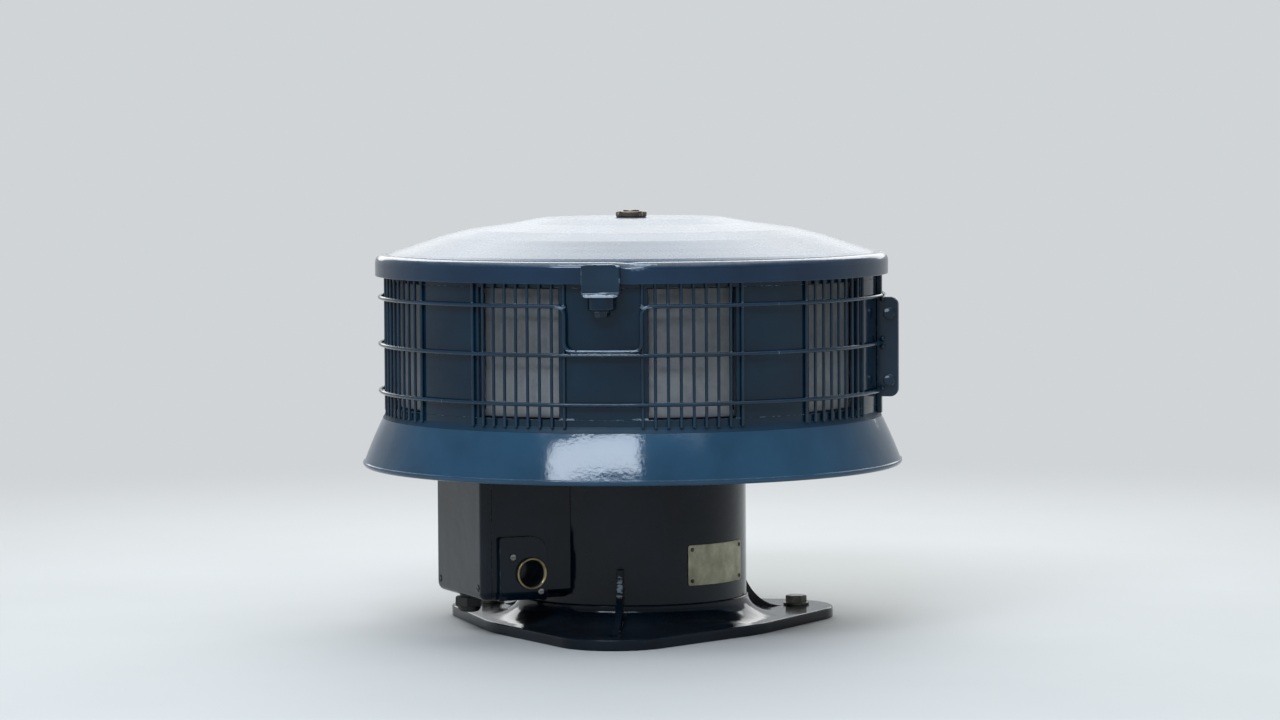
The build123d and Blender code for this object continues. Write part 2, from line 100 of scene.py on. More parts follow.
def roundedOutline(points, steps=6):  # (radius, height, corner radius) to a smooth outline, in mm
    outline = []
    for i, (x, z, bend) in enumerate(points):
        here = Vector((x, z))
        if bend <= 0:
            outline.append(here)
            continue
        before = Vector(points[i - 1][:2]) - here
        after = Vector(points[(i + 1) % len(points)][:2]) - here
        half = before.angle(after) / 2
        cut = min(bend / max(0.02, abs(sin(half) / cos(half))), before.length * 0.49, after.length * 0.49)
        start = here + before.normalized() * cut
        end = here + after.normalized() * cut
        for step in range(steps + 1):
            t = step / steps
            outline.append((1 - t) ** 2 * start + 2 * t * (1 - t) * here + t * t * end)
    return [(p.x, p.y) for p in outline]


# mesh data to a piece that rides a body; flatness is how strongly large faces hold their shading flat
def finishPiece(name, bm, material, body="siren_body", sharpAngle=38, flatness=100):
    bmesh.ops.remove_doubles(bm, verts=bm.verts, dist=1e-6)
    bmesh.ops.recalc_face_normals(bm, faces=bm.faces)
    mesh = bpy.data.meshes.new(name)
    bm.to_mesh(mesh)
    bm.free()
    mesh.shade_smooth()
    mesh.set_sharp_from_angle(angle=radians(sharpAngle))
    piece = bpy.data.objects.new(name, mesh)
    sceneNow.collection.objects.link(piece)
    mesh.materials.append(material)
    flat = piece.modifiers.new("flatFacesStayFlat", "WEIGHTED_NORMAL")
    flat.keep_sharp = True
    flat.weight = flatness
    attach(piece, body)
    return piece


copying = {"mergeMm": 0.002, "flatBelow": 0.4, "arrisAbove": 32, "segments": 3, "flatness": 50}


# node copied with soft arrises; cuts are heights in mm that keep the shading apart above and below them
def roundedCopy(nodeName, pieceName, edgeMm, material, body="siren_body", keepEdge=None, cuts=()):
    bm = bmesh.new()
    bm.from_mesh(nodes[nodeName].data)
    bmesh.ops.remove_doubles(bm, verts=bm.verts, dist=copying["mergeMm"] / 1000)
    flat = radians(copying["flatBelow"])
    bmesh.ops.dissolve_limit(bm, angle_limit=flat, verts=bm.verts, edges=bm.edges)
    width = edgeMm / 1000
    sharp = radians(copying["arrisAbove"])
    arrises = [edge for edge in bm.edges if edge.is_manifold and edge.is_convex
               and edge.calc_face_angle() > sharp and edge.calc_length() > 1.5 * width
               and (keepEdge is None or keepEdge(edge))]
    bmesh.ops.bevel(bm, geom=arrises, offset=width, offset_type="OFFSET", segments=copying["segments"],
                    profile=0.5, affect="EDGES", clamp_overlap=False)
    for height in cuts:
        everything = list(bm.verts) + list(bm.edges) + list(bm.faces)
        bmesh.ops.bisect_plane(bm, geom=everything, plane_co=(0, 0, height / 1000), plane_no=(0, 0, 1),
                               dist=1e-6)
    piece = finishPiece(pieceName, bm, material, body, flatness=copying["flatness"])
    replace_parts(piece, nodeName)
    return piece


def addRing(bm, count, pointAt):  # ring of vertices; pointAt gives each point for its turn in radians
    return [bm.verts.new(pointAt(2 * pi * k / count)) for k in range(count)]


def joinRings(bm, rings, closed=False):  # skin over rings of equal count, with flat ends unless closed
    for low, high in zip(rings, rings[1:] + (rings[:1] if closed else [])):
        for k in range(len(low)):
            n = (k + 1) % len(low)
            bm.faces.new([low[k], low[n], high[n], high[k]])
    if not closed:
        bm.faces.new(rings[0][::-1])
        bm.faces.new(rings[-1])


def placeVerts(bm, rings, place):
    verts = [vertex for ring in rings for vertex in ring]
    if place is not None:
        bmesh.ops.transform(bm, matrix=place, verts=verts)
    return verts


def addLathe(bm, outline, segments, place=None, closed=True):  # (radius, height) in mm, turned about Z
    rings = []
    for radius, height in outline:
        if radius < 1e-4:  # on the axis
            rings.append([bm.verts.new((0, 0, height / 1000))])
        else:
            rings.append(addRing(bm, segments, lambda turn: (
                radius / 1000 * cos(turn), radius / 1000 * sin(turn), height / 1000)))
    for low, high in zip(rings, rings[1:] + (rings[:1] if closed else [])):
        for k in range(segments):
            n = (k + 1) % segments
            corners = [low[k % len(low)], low[n % len(low)], high[n % len(high)], high[k % len(high)]]
            corners = list(dict.fromkeys(corners))
            if len(corners) > 2:
                bm.faces.new(corners)
    return placeVerts(bm, rings, place)


def addTube(bm, points, radius, sides=12, roundEnds=True):  # round wire along points in metres, radius in mm
    line = [Vector(p) for p in points]
    tangents = [(after - before).normalized() for before, after in zip(line[:1] + line, line[1:] + line[-1:])]
    side = tangents[0].orthogonal().normalized()
    size = radius / 1000
    places = []
    for point, tangent in zip(line, tangents):
        side = (side - side.dot(tangent) * tangent).normalized()
        places.append((point, tangent, side.copy(), size))
    if roundEnds:
        caps = [(0.92, 0.35), (0.7, 0.72), (0.38, 0.93)]  # shares of the radius: across, and out past the end
        (first, firstWay, firstSide, _), (last, lastWay, lastSide, _) = places[0], places[-1]
        start = [(first - firstWay * size * out, firstWay, firstSide, size * wide) for wide, out in caps]
        end = [(last + lastWay * size * out, lastWay, lastSide, size * wide) for wide, out in caps]
        places = start[::-1] + places + end
    rings = []
    for centre, tangent, across, reach in places:
        other = tangent.cross(across)
        rings.append(addRing(bm, sides, lambda turn: (
            centre + reach * (cos(turn) * across + sin(turn) * other))))
    joinRings(bm, rings)


def addBlob(bm, centre, sizeMm, seed, rough=0.12):  # weld bead: a lumpy flattened ball
    for vertex in bmesh.ops.create_icosphere(bm, subdivisions=2, radius=1.0)["verts"]:
        lump = 1 + rough * noise.noise(vertex.co * 1.7 + Vector((seed * 3.1, seed * 1.7, seed)))
        vertex.co = Vector(centre) + Vector([vertex.co[i] * sizeMm[i] / 1000 * lump for i in range(3)])


# hex head above its seat, on a washer if one is given, with the end of its thread standing out above; all mm
def addHexBolt(bm, place, flats, height, washer=0, washerHeight=0, thread=4, threadOut=0):
    if washer:
        hole = thread * 1.04
        outline = [(hole, 0, 0.1), (washer, 0, 0.5), (washer, washerHeight, 0.6), (hole, washerHeight, 0.4)]
        addLathe(bm, roundedOutline(outline, 3), 40, place)
    corner = flats / 2 / cos(pi / 6)
    rings = []
    for share, wide in [(0, 0.97), (0.12, 1.0), (0.86, 1.0), (0.95, 0.965), (1.0, 0.86)]:  # chamfered corners

        def onHexagon(turn):
            toFlat = flats / 2 / cos((turn + pi / 6) % (pi / 3) - pi / 6)
            reach = min(toFlat, corner * wide)
            return reach / 1000 * cos(turn), reach / 1000 * sin(turn), (washerHeight + height * share) / 1000

        rings.append(addRing(bm, 48, onHexagon))
    joinRings(bm, rings)
    placeVerts(bm, rings, place)
    if threadOut:
        top, pitch = washerHeight + height, 0.7
        outline = [(0, top - 0.5)]
        for turn in range(int(threadOut / pitch)):
            outline += [(thread - 0.5, top - 0.5 + pitch * turn), (thread, top - 0.15 + pitch * turn)]
        outline += [(thread - 0.9, top + threadOut), (0, top + threadOut)]
        addLathe(bm, outline, 24, place, closed=False)


def hangBolt(bm, bolts, azimuth, turn=0):  # hex head that looks down, on a circle round the axis
    b = bolts
    place = turnMatrix(azimuth) @ shifted(0, -b["circle"], b["seat"]) @ tipped(180, "X") @ tipped(turn, "Z")
    addHexBolt(bm, place, b["flats"], b["height"], b["washer"], b["washerHeight"], b["thread"])


def addSlotScrew(bm, place, radius, height):  # cheese-head screw in mm, with a slot across the head
    shape = [(1.0, 0.0), (1.0, 0.72), (0.93, 0.93), (0.8, 1.0), (0.55, 1.02), (0.3, 1.03), (0.12, 1.03)]
    rings = []
    for wide, tall in shape:

        def onHead(turn):
            x, y = radius * wide * cos(turn), radius * wide * sin(turn)
            slot = 0.45 if tall > 0.5 and abs(x) < radius * 0.16 else 0
            return x / 1000, y / 1000, height * (tall - slot) / 1000

        rings.append(addRing(bm, 40, onHead))
    joinRings(bm, rings)
    placeVerts(bm, rings, place)


# materials

# brushed coats, the same in every enamel unless its look says otherwise: patterns as on the real paint, with
# painted glints among the rubs and a painted sheen in the rim's dust
enamelCoat = {"lapMm": 90, "edgeMm": 1, "patchMm": 12, "flakeMm": 4, "flakeStretch": (0.8, 1, 2.6),
              "cloudMm": 40, "speckMm": 1.5, "waverPitchMm": 45, "primerAndGlint": "#9fb0bf", "dustAndSheenColour": "#a3a9aa",
              "index": 1.45, "waverMm": 0.5, "roughness": 0.12, "mottle": 0.25, "shine": 0.5, "dustAndSheen": 0.05,
              "dustAndSheenFrom": 0.55, "rubsAndGlints": []}

# rubs and painted glints are (centre in mm, reach in mm, strength)
enamelLooks = {
    # skirt: thin spun sheet under many coats that flowed out; glassy; coloured lighter than the other enamels
    # as painted sky light on the upward-facing sheet
    "skyLitSkirtEnamel": {"deep": "#1d3d54", "light": "#274b65", "grainMm": 4.5, "grainHeightMm": 0.1,
                    "roughness": 0.1, "wear": 0.4},
    # rolled rim of the lid: the same flow, darker, knocked beside the front lug; its heavy dust film on faces
    # tilted only a little up is dust and a painted sky sheen on the top of the roll
    "rimEnamel": {"deep": "#08223a", "light": "#0f3049", "grainMm": 8, "grainHeightMm": 0.04, "waverMm": 0.4,
                  "dustAndSheen": 0.42, "dustAndSheenFrom": 0.2, "wear": 0.4,
                  # the rub left of the lug is a painted highlight along the top of the roll; the two right of
                  # it are scuffs at the dent
                  "rubsAndGlints": [((50, -328, 481), (20, 9, 1.3), 0.6), ((43, -328, 477), (12, 9, 3.6), 0.18),
                           ((-42, -329, 480.5), (30, 8, 0.9), 0.5)]},
    # painted casting of the stator: enamel over a grainy skin, so the gloss breaks up into small glints
    "castEnamel": {"deep": "#051e30", "light": "#092838", "grainMm": 6, "grainHeightMm": 0.05,
                   "roughness": 0.14, "shine": 0.4, "dustAndSheen": 0.08, "wear": 0.7,
                   # the rubs here are painted glints at the lower corners of the front port walls
                   "rubsAndGlints": [((-46, -317, 290.5), (12, 6, 1.4), 0.5), ((50, -316, 290.5), (12, 6, 1.4), 0.6)]},
    # corner under the ports: paint lying thick over putty, dulled by the dirt that settles there
    "cornerEnamel": {"deep": "#0b2636", "light": "#123346", "grainMm": 5, "grainHeightMm": 0.1,
                     "waverMm": 0.3, "roughness": 0.5, "shine": 0.3, "dustAndSheen": 0.1, "wear": 0.0},
    # motor, box and foot: the same paint, coloured near black as painted shade under the skirt
    "shadedMotorEnamel": {"deep": "#060d16", "light": "#0a1824", "grainMm": 8, "grainHeightMm": 0.05,
                    # its one rub is a painted highlight on the crest of the front rib
                    "shine": 0.28, "wear": 0.6, "rubsAndGlints": [((0, -157, 73), (4.5, 4, 15), 0.8)]},
    # wire, lugs and small plates, brushed by hand: thick, glossy, with crests rubbed down to the grey primer
    "wireEnamel": {"deep": "#0a2334", "light": "#113044", "grainMm": 6, "grainHeightMm": 0.04,
                   "waverMm": 0.2, "dustAndSheen": 0.04, "wear": 0.8,
                   # painted highlights: the rubs on the front ring tops, the lug's top edge, corner and
                   # sides, the detour bends and the clamp bolt heads; the lug's lip rubs are wear and painted
                   # highlight both
                   "rubsAndGlints": [((4, -327, 375.6), (54, 5, 1.3), 0.6), ((0, -327, 371.4), (66, 5, 1.0), 0.45),
                            ((-2, -349, 443), (24, 6, 2.4), 0.95), ((-5, -350, 440.5), (8, 4, 3.5), 0.75),
                            ((0, -346, 482.4), (20, 6, 1.1), 0.75), ((23, -347, 481), (4, 6, 2.5), 1.0),
                            ((-24.5, -346, 468), (1.6, 5, 12), 0.3), ((24.5, -348, 462), (1.6, 5, 4), 0.6),
                            ((52, -323, 428), (9, 5, 1.8), 0.32), ((-52, -323, 428), (9, 5, 1.8), 0.32),
                            ((332, -36, 411), (3.4, 2.4, 2.4), 0.9),
                            ((332, -36, 325.5), (3.4, 2.4, 2.2), 0.9)]},
    # top of the lid, out in sun and rain: the same coat with a thin dry film that spreads its reflections
    "weatheredEnamel": {"deep": "#0f3148", "light": "#163d57", "grainMm": 30, "grainHeightMm": 0.005,
                        "waverMm": 0.05, "roughness": 0.27, "mottle": 0.04, "dustAndSheen": 0.03, "wear": 0.3,
                        "ringMm": 22, "ringHeightMm": 0.03},
}


def makeEnamel(name, look):  # blue alkyd enamel: brushed coats over primer, gloss, dust on what faces up, with painted glints and a painted sheen among the rubs and dust
    material, add, place = startMaterial(name)
    faceNormal = add("NewGeometry").outputs["Normal"]
    # laps of the brush: slow change of shade
    laps = add("TexNoise", {"Vector": place, "Scale": 1000 / look["lapMm"], "Detail": 3})
    lapRamp = add("ValToRGB", {"Fac": laps})
    setStops(lapRamp, [(0.32, look["deep"]), (0.7, look["light"])])
    # rounded edges, so that every arris catches light as paint-filled edges do
    softNormal = add("Bevel", {"Radius": look["edgeMm"] / 1000}, samples=4)
    # worn crests: where the rounded normal leaves the true one, broken up in patches
    edge = add("VectorMath", {0: softNormal, 1: faceNormal}, operation="DOT_PRODUCT")
    patches = add("TexNoise",
                  {"Vector": place, "Scale": 1000 / look["patchMm"], "Detail": 6, "Roughness": 0.65})
    edgeRamp = add("MapRange", {"Value": edge.outputs["Value"], "From Min": 0.99, "From Max": 0.86})
    patchRamp = add("MapRange", {"Value": patches, "From Min": 0.5, "From Max": 0.62})
    wear = add("Math", {0: edgeRamp, 1: patchRamp}, operation="MULTIPLY")
    wear = add("Math", {0: wear, 1: look["wear"]}, operation="MULTIPLY")
    # rubs and painted glints: places knocked or rubbed down to the primer, and painted highlights in the same
    # pale grey, each an oval with a ragged edge of flakes
    streaked = add("Mapping", {"Vector": place, "Scale": look["flakeStretch"]})
    flakes = add("TexNoise",
                 {"Vector": streaked, "Scale": 1000 / look["flakeMm"], "Detail": 5, "Roughness": 0.7})
    for centre, reach, strength in look["rubsAndGlints"]:
        away = add("VectorMath", {0: place, 1: tuple(c / 1000 for c in centre)}, operation="SUBTRACT")
        away = add("VectorMath", {0: away, 1: tuple(1000 / r for r in reach)}, operation="MULTIPLY")
        away = add("VectorMath", {0: away}, operation="LENGTH")
        ragged = add("Math", {0: flakes, 1: -2.6, 2: 2.3}, operation="MULTIPLY_ADD")
        inside = add("Math", {0: ragged, 1: away.outputs["Value"]}, operation="SUBTRACT")
        inside = add("MapRange", {"Value": inside, "From Min": 0.0, "From Max": 0.16, "To Max": strength})
        wear = add("Math", {0: wear, 1: inside}, operation="MAXIMUM")
    wornAndGlinting = add("Mix", {0: wear, 6: lapRamp, 7: linearColour(look["primerAndGlint"])}, data_type="RGBA")
    # dust film, on the rim also a painted sky sheen: lies on faces that look up, in clouds with fine specks
    up = add("SeparateXYZ", {"Vector": faceNormal})
    upRamp = add("MapRange", {"Value": up.outputs["Z"], "From Min": look["dustAndSheenFrom"], "From Max": 0.98})
    clouds = add("TexNoise",
                 {"Vector": place, "Scale": 1000 / look["cloudMm"], "Detail": 8, "Roughness": 0.7})
    cloudRamp = add("MapRange", {"Value": clouds, "From Min": 0.3, "From Max": 0.7, "To Min": 0.3})
    specks = add("TexNoise", {"Vector": place, "Scale": 1000 / look["speckMm"], "Detail": 2})
    speckRamp = add("MapRange", {"Value": specks, "From Min": 0.4, "From Max": 0.62, "To Min": 0.45})
    dustAndSheenLayer = add("Math", {0: upRamp, 1: cloudRamp}, operation="MULTIPLY")
    for share in (speckRamp, look["dustAndSheen"]):
        dustAndSheenLayer = add("Math", {0: dustAndSheenLayer, 1: share}, operation="MULTIPLY")
    colour = add("Mix", {0: dustAndSheenLayer, 6: wornAndGlinting.outputs[2], 7: linearColour(look["dustAndSheenColour"])},
                 data_type="RGBA")
    # gloss varies in the same clouds; rub marks and dust dull it
    mottle = look["mottle"]
    rough = add("MapRange",
                {"Value": clouds, "From Min": 0.3, "From Max": 0.7,
                 "To Min": look["roughness"] * (1 - mottle), "To Max": look["roughness"] * (1 + mottle)})
    dull = add("Math", {0: dustAndSheenLayer, 1: wear}, operation="MAXIMUM")
    rough = add("Math", {0: dull, 1: 0.3, 2: rough}, operation="MULTIPLY_ADD")
    # skin of the casting or sheet, and the slow waver of a thick coat on it
    skin = softNormal
    for pitchMm, detail, heightMm in ((look["grainMm"], 4, look["grainHeightMm"]),
                                      (look["waverPitchMm"], 2, look["waverMm"])):
        relief = add("TexNoise", {"Vector": place, "Scale": 1000 / pitchMm, "Detail": detail})
        skin = add("Bump", {"Strength": 1.0, "Distance": heightMm / 1000, "Height": relief, "Normal": skin})
    if "ringMm" in look:  # rings left by the spinning tool; the wave repeats every 314 mm at a scale of 1
        rings = add("TexWave",
                    {"Vector": place, "Scale": 314 / look["ringMm"], "Distortion": 1.2, "Detail": 1},
                    wave_type="RINGS", rings_direction="Z")
        skin = add("Bump",
                   {"Strength": 1.0, "Distance": look["ringHeightMm"] / 1000,
                    "Height": rings.outputs["Fac"], "Normal": skin})
    shader = add("BsdfPrincipled",
                 {"Base Color": colour.outputs[2], "Roughness": rough, "IOR": look["index"],
                  "Specular IOR Level": look["shine"], "Normal": skin})
    add("OutputMaterial", {"Surface": shader})
    return material


enamels = {name: makeEnamel(name, {**enamelCoat, **look}) for name, look in enamelLooks.items()}

# stretch squeezes the grain along an axis, so 0.2 draws it out five times as long
metalLooks = {
    # sand-cast aluminium left bare: dull even grey with a fine pebbled skin, with painted shade: lighter low
    # down, darker up under the lid's rim
    "castAluminium": {"dark": "#7c7f82", "light": "#85888a", "grainMm": 2.2, "grainHeightMm": 0.03,
                      "roughness": 0.6,
                      "paintedTopShade": {"low": 305, "high": 400, "lowGain": 1.45, "highGain": 0.9}},
    # rolled sheet, bare: fine lines along the rolling direction under a dull oxide film
    "rolledAluminium": {"dark": "#86846f", "light": "#a5a38f", "grainMm": 1.2, "grainHeightMm": 0.01,
                        "roughness": 0.45, "stretch": (0.2, 0.2, 6)},
    # turned steel: rings round the axis, clean and light
    "turnedSteel": {"dark": "#7f8080", "light": "#b1b2b2", "grainMm": 0.8, "grainHeightMm": 0.01,
                    "roughness": 0.3, "stretch": (0.15, 0.15, 5)},
    # zinc-plated steel, years outside: grey bloom over dark pits
    "agedZincSteel": {"dark": "#34342f", "light": "#77766e", "grainMm": 2.0, "grainHeightMm": 0.06,
                      "roughness": 0.5},
    # steel plug rubbed bare: brown tarnish with a dull shine
    "tarnishedSteel": {"dark": "#544b42", "light": "#7b7267", "grainMm": 3.0, "grainHeightMm": 0.03,
                       "roughness": 0.38},
    # brass of the inlet's bush, pale and dulled by handling
    "dulledBrass": {"dark": "#7a6948", "light": "#b3a47c", "grainMm": 2.5, "grainHeightMm": 0.02,
                    "roughness": 0.36},
}
metalSkin = {"cloudMm": 25, "edgeMm": 0.6, "duller": 1.25, "brighter": 0.85, "stretch": (1, 1, 1)}


def makeMetal(name, look):  # bare metal: two shades in clouds, grain from how it was made
    material, add, place = startMaterial(name)
    clouds = add("TexNoise",
                 {"Vector": place, "Scale": 1000 / look["cloudMm"], "Detail": 9, "Roughness": 0.68})
    shade = add("ValToRGB", {"Fac": clouds})
    setStops(shade, [(0.32, look["dark"]), (0.66, look["light"])])
    stretched = add("Mapping", {"Vector": place, "Scale": look["stretch"]})
    grain = add("TexNoise", {"Vector": stretched, "Scale": 1000 / look["grainMm"], "Detail": 4})
    rough = add("MapRange",
                {"Value": clouds, "From Min": 0.3, "From Max": 0.7,
                 "To Min": look["roughness"] * look["duller"],
                 "To Max": look["roughness"] * look["brighter"]})
    softNormal = add("Bevel", {"Radius": look["edgeMm"] / 1000}, samples=4)
    skin = add("Bump",
               {"Strength": 1.0, "Distance": look["grainHeightMm"] / 1000, "Height": grain,
                "Normal": softNormal})
    colour = shade
    if "paintedTopShade" in look:  # painted shade: coloured lighter low down and darker towards the top, where the lid's rim shades the ports
        paintedTopShade = look["paintedTopShade"]
        up = add("SeparateXYZ", {"Vector": place})
        gain = add("MapRange",
                   {"Value": up.outputs["Z"], "From Min": paintedTopShade["low"] / 1000,
                    "From Max": paintedTopShade["high"] / 1000, "To Min": paintedTopShade["lowGain"],
                    "To Max": paintedTopShade["highGain"]}, interpolation_type="SMOOTHSTEP")
        colour = add("VectorMath", {0: colour, "Scale": gain}, operation="SCALE")
    shader = add("BsdfPrincipled",
                 {"Base Color": colour, "Metallic": 1.0, "Roughness": rough, "Normal": skin})
    add("OutputMaterial", {"Surface": shader})
    return material


metals = {name: makeMetal(name, {**metalSkin, **look}) for name, look in metalLooks.items()}

# black polyamide, moulded: satin, with the fine grain of a spark-eroded mould and grey scuffs
polyamideLook = {"dark": "#0c0d0e", "scuff": "#222324", "scuffMm": 9, "grainMm": 0.8, "grainHeightMm": 0.04,
                 "roughness": 0.42, "index": 1.53}


def makePolyamide():
    look = polyamideLook
    material, add, place = startMaterial("mouldedPolyamide")
    scuffs = add("TexNoise",
                 {"Vector": place, "Scale": 1000 / look["scuffMm"], "Detail": 8, "Roughness": 0.7})
    shade = add("ValToRGB", {"Fac": scuffs})
    setStops(shade, [(0.45, look["dark"]), (0.8, look["scuff"])])
    grain = add("TexNoise", {"Vector": place, "Scale": 1000 / look["grainMm"], "Detail": 2})
    skin = add("Bump", {"Distance": look["grainHeightMm"] / 1000, "Height": grain})
    shader = add("BsdfPrincipled",
                 {"Base Color": shade, "Roughness": look["roughness"], "IOR": look["index"],
                  "Normal": skin})
    add("OutputMaterial", {"Surface": shader})
    return material


polyamide = makePolyamide()
print("materials made:", len(enamels) + len(metals) + 1)

# by the start of a node's name; the longest match holds
finishOfNode = {
    "base_foot": enamels["shadedMotorEnamel"], "motor": enamels["shadedMotorEnamel"],
    "motor_shaft": metals["turnedSteel"], "terminal_box": enamels["shadedMotorEnamel"],
    "cable_entry": enamels["shadedMotorEnamel"], "cable_entry_ring": metals["dulledBrass"],
    "blind_gland": polyamide, "rating_plate": metals["rolledAluminium"],
    "skirt": enamels["skyLitSkirtEnamel"], "stator": enamels["castEnamel"],
    "lid_rim": enamels["rimEnamel"], "lid_dome": enamels["weatheredEnamel"],
    "lid_lug": enamels["wireEnamel"], "top_plug": metals["tarnishedSteel"],
    "grille": enamels["wireEnamel"], "rotor": metals["castAluminium"],
}
for nodeName, node in nodes.items():
    best = max((key for key in finishOfNode if nodeName.startswith(key)), key=len)
    node.data.materials.clear()
    node.data.materials.append(finishOfNode[best])
print("finishes put on the CAD nodes")


# lid

# corners of the dome: radius, drop below its top or rise over the rim, corner radius
lidShape = {"seat": 481, "rimRadius": 332, "rimBottom": 457, "rimTop": 484, "roll": 11, "rimSheet": 3,
            "land": 36, "domeTop": 530, "domeSheet": 2.5, "insideReach": 312.5,
            "domeSteps": ((0, 0, 0), (119, 0, 3), (151, 6, 14), (211, 14, 30), (247, 23, 8)),
            "domeEdge": ((308, 3.2, 6), (314.5, 0.4, 2), (315.5, -1.5, 0.5)), "lugEdge": 0.9}
rimDent = {"azimuth": 5.6, "half": 3.4, "down": 16, "in": 12, "depth": 2.2}  # knock beside the front lug


def makeLidRim():
    s, d = lidShape, rimDent
    radius, sheet = s["rimRadius"], s["rimSheet"]
    outline = roundedOutline([
        (radius, s["rimBottom"], 0.9), (radius, s["rimTop"], s["roll"]),
        (radius - s["land"], s["rimTop"], 0.6), (radius - s["land"], s["seat"], 0.3),
        (radius - sheet, s["seat"], s["roll"] - sheet), (radius - sheet, s["rimBottom"], 0.9)], 10)
    bm = bmesh.new()
    for vertex in addLathe(bm, outline, 360):
        azimuth = degrees(atan2(vertex.co.x, -vertex.co.y))
        near = max(0.0, 1 - abs(azimuth - d["azimuth"]) / d["half"])
        height = max(0.0, (vertex.co.z * 1000 - s["rimTop"] + d["down"]) / d["down"])
        out = vertex.co.xy.length
        if near > 0 and height > 0 and out > (radius - d["in"]) / 1000:
            push = d["depth"] / 1000 * near ** 1.5 * height
            vertex.co.x -= vertex.co.x / out * push
            vertex.co.y -= vertex.co.y / out * push
            vertex.co.z -= push * 0.6
    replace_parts(finishPiece("lidRimRolled", bm, enamels["rimEnamel"]), "lid_rim")


def makeLidDome():
    s = lidShape
    outside = [(radius, s["domeTop"] - drop, bend) for radius, drop, bend in s["domeSteps"]]
    outside += [(radius, s["rimTop"] + rise, bend) for radius, rise, bend in s["domeEdge"]]
    inside = [(min(radius, s["insideReach"]), height - s["domeSheet"], bend)
              for radius, height, bend in reversed(outside[:-1])]
    bm = bmesh.new()
    addLathe(bm, roundedOutline(outside + inside, 8), 256)
    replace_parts(finishPiece("lidDomeSpun", bm, enamels["weatheredEnamel"]), "lid_dome")


def makeLidLugs():
    for lug in ("1", "2", "3"):
        roundedCopy("lid_lug_" + lug, "lidLug" + lug, lidShape["lugEdge"], enamels["wireEnamel"])


lidBolts = {"azimuths": (0, 120, 240), "circle": 329.5, "seat": 425, "flats": 16, "height": 6.4,
            "washer": 9.5, "washerHeight": 1.6, "thread": 5}


def makeLidBolts():  # heads under the three bosses, holding the lugs down
    bm = bmesh.new()
    for azimuth in lidBolts["azimuths"]:
        hangBolt(bm, lidBolts, azimuth, azimuth * 0.3 + 13)  # no two heads stop at the same turn
    finishPiece("lidBolts", bm, enamels["wireEnamel"])


plugShape = {"profile": [(0, 540, 0), (10.2, 540, 0.8), (11, 538, 0.3), (19, 538, 0.9), (20, 536.6, 0.6),
                         (20, 531.8, 0.4), (19.2, 531.2, 0.3), (19.2, 530, 0), (0, 530, 0)],
             "notchHalf": 9, "notchFrom": 18.6, "notchTo": 17.4, "notchAbove": 534.5}


def makeTopPlug():
    s = plugShape
    bm = bmesh.new()
    for vertex in addLathe(bm, roundedOutline(s["profile"], 4), 96, closed=False):  # notches for a spanner
        turn = degrees(atan2(vertex.co.y, vertex.co.x)) % 90
        out = vertex.co.xy.length * 1000
        if abs(turn - 45) < s["notchHalf"] and out > s["notchFrom"] and vertex.co.z > s["notchAbove"] / 1000:
            vertex.co.x *= s["notchTo"] / out
            vertex.co.y *= s["notchTo"] / out
    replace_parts(finishPiece("topPlug", bm, metals["tarnishedSteel"]), "top_plug")


makeLidRim()
makeLidDome()
makeLidLugs()
makeLidBolts()
makeTopPlug()
print("lid made")


# skirt

skirtShape = {"top": 276, "bottom": 211, "topRadius": 322, "radius": 350, "sheet": 2, "levelSheet": 2.2,
              "bead": 4, "flange": 22, "bow": 0.9}


def makeSkirt():
    s = skirtShape
    top, radius, bead = s["top"], s["topRadius"], s["bead"]
    footRadius = s["radius"] - (s["radius"] - radius) * bead / (top - s["bottom"])
    low = Vector((footRadius - 0.4, s["bottom"] + bead + 2.5))  # where the sheet runs into the roll
    outline = [(radius - s["flange"], top, 0.4), (radius, top, 2.0)]
    for k in range(1, 10):  # the spun sheet bows out a little between its ends
        share = k / 10
        level = Vector((radius, top)).lerp(low, share)
        outline.append((level.x + s["bow"] * 4 * share * (1 - share), level.y, 0))
    outline.append((low.x, low.y, 1.5))
    for k in range(15):  # sheet rolled round the edge wire
        turn = radians(35 - 20 * k)
        outline.append((s["radius"] - bead + bead * cos(turn), s["bottom"] + bead + bead * sin(turn), 0))
    outline += [(footRadius - 3.4, s["bottom"] + bead + 3, 0.6),
                (radius - s["levelSheet"], top - s["sheet"], 2.0),
                (radius - s["flange"], top - s["sheet"], 0.4)]
    bm = bmesh.new()
    addLathe(bm, roundedOutline(outline, 5), 360)
    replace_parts(finishPiece("skirtSpun", bm, enamels["skyLitSkirtEnamel"]), "skirt")


collarProfile = [(0, 5.5), (0.3, 5.4), (0.8, 2.6), (1.8, 0.6), (3.6, -2.2), (3.2, -2.6), (0, -1.2)]  # out, up


def makeCollarFillet():  # paint and putty that fill the corner between the deck and the skirt
    inner, top = skirtShape["topRadius"] - skirtShape["levelSheet"], skirtShape["top"]
    bm = bmesh.new()
    addLathe(bm, [(inner + out, top + up) for out, up in collarProfile], 360)
    finishPiece("collarFillet", bm, enamels["cornerEnamel"], sharpAngle=60)


flangeBolts = {"count": 12, "circle": 309, "seat": 274, "flats": 13, "height": 5.3, "washer": 8,
               "washerHeight": 1.6, "thread": 4}


def makeFlangeBolts():  # heads under the flange that hangs the skirt from the deck
    bm = bmesh.new()
    for number in range(flangeBolts["count"]):
        hangBolt(bm, flangeBolts, (number + 0.5) * 360 / flangeBolts["count"])
    finishPiece("skirtFlangeBolts", bm, enamels["wireEnamel"])


makeSkirt()
makeCollarFillet()
makeFlangeBolts()
print("skirt made")


# stator and deck

